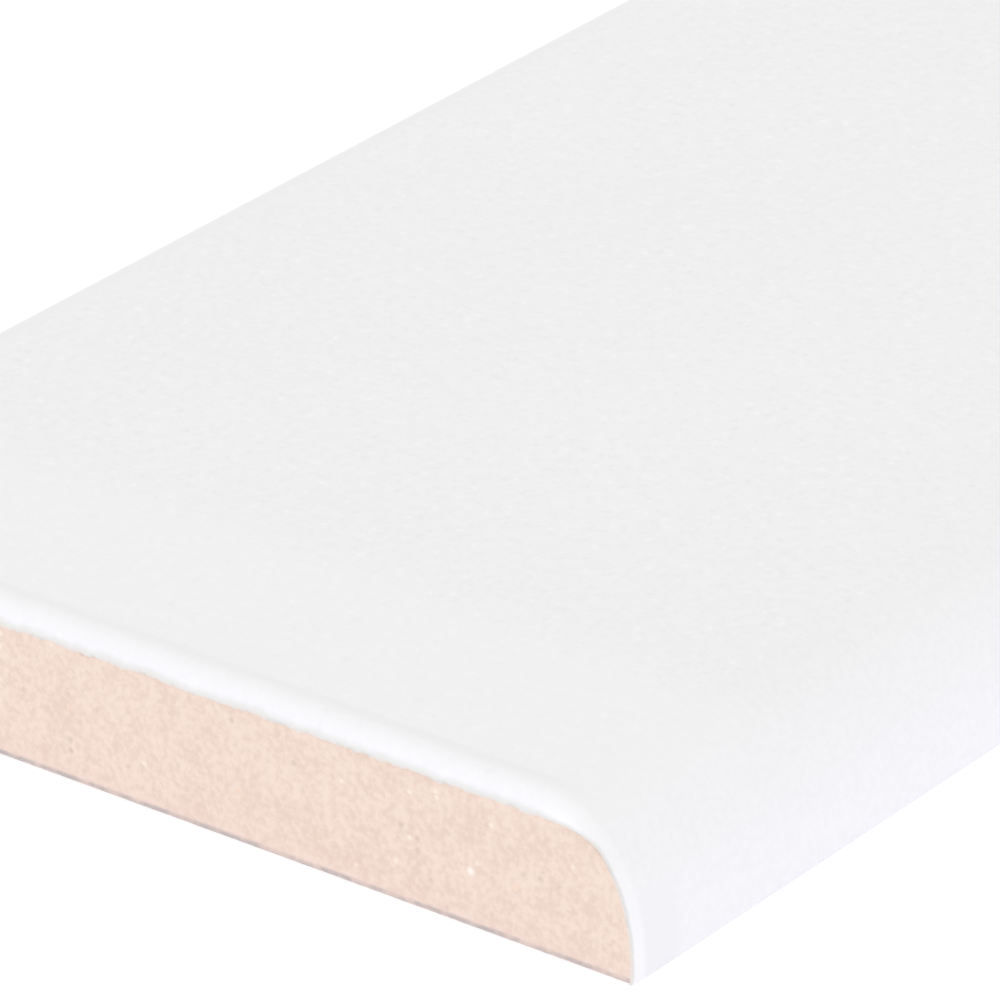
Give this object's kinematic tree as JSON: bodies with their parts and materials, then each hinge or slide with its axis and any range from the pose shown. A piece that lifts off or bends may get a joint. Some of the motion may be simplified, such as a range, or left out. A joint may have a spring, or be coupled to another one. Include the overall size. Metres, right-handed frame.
{
  "type": "bullnose tile",
  "caption": "Rectangular glazed ceramic trim tile with a flat back, a softly rounded face and one long edge rolled over into a bullnose; the ends show the bare fired body.",
  "frame": {"origin": "middle of the flat back, on the surface that the tile lies on", "axes": "+Z out of the glazed face, +Y along the tile's length, +X across the tile towards the bullnose edge"},
  "size_m": [0.0508, 0.1524, 0.0075],
  "materials": {
    "glaze": "satin",
    "bisque": "matte"
  },
  "bodies": {
    "root": {"bullnose_tile": "glaze"}
  },
  "joints": []
}
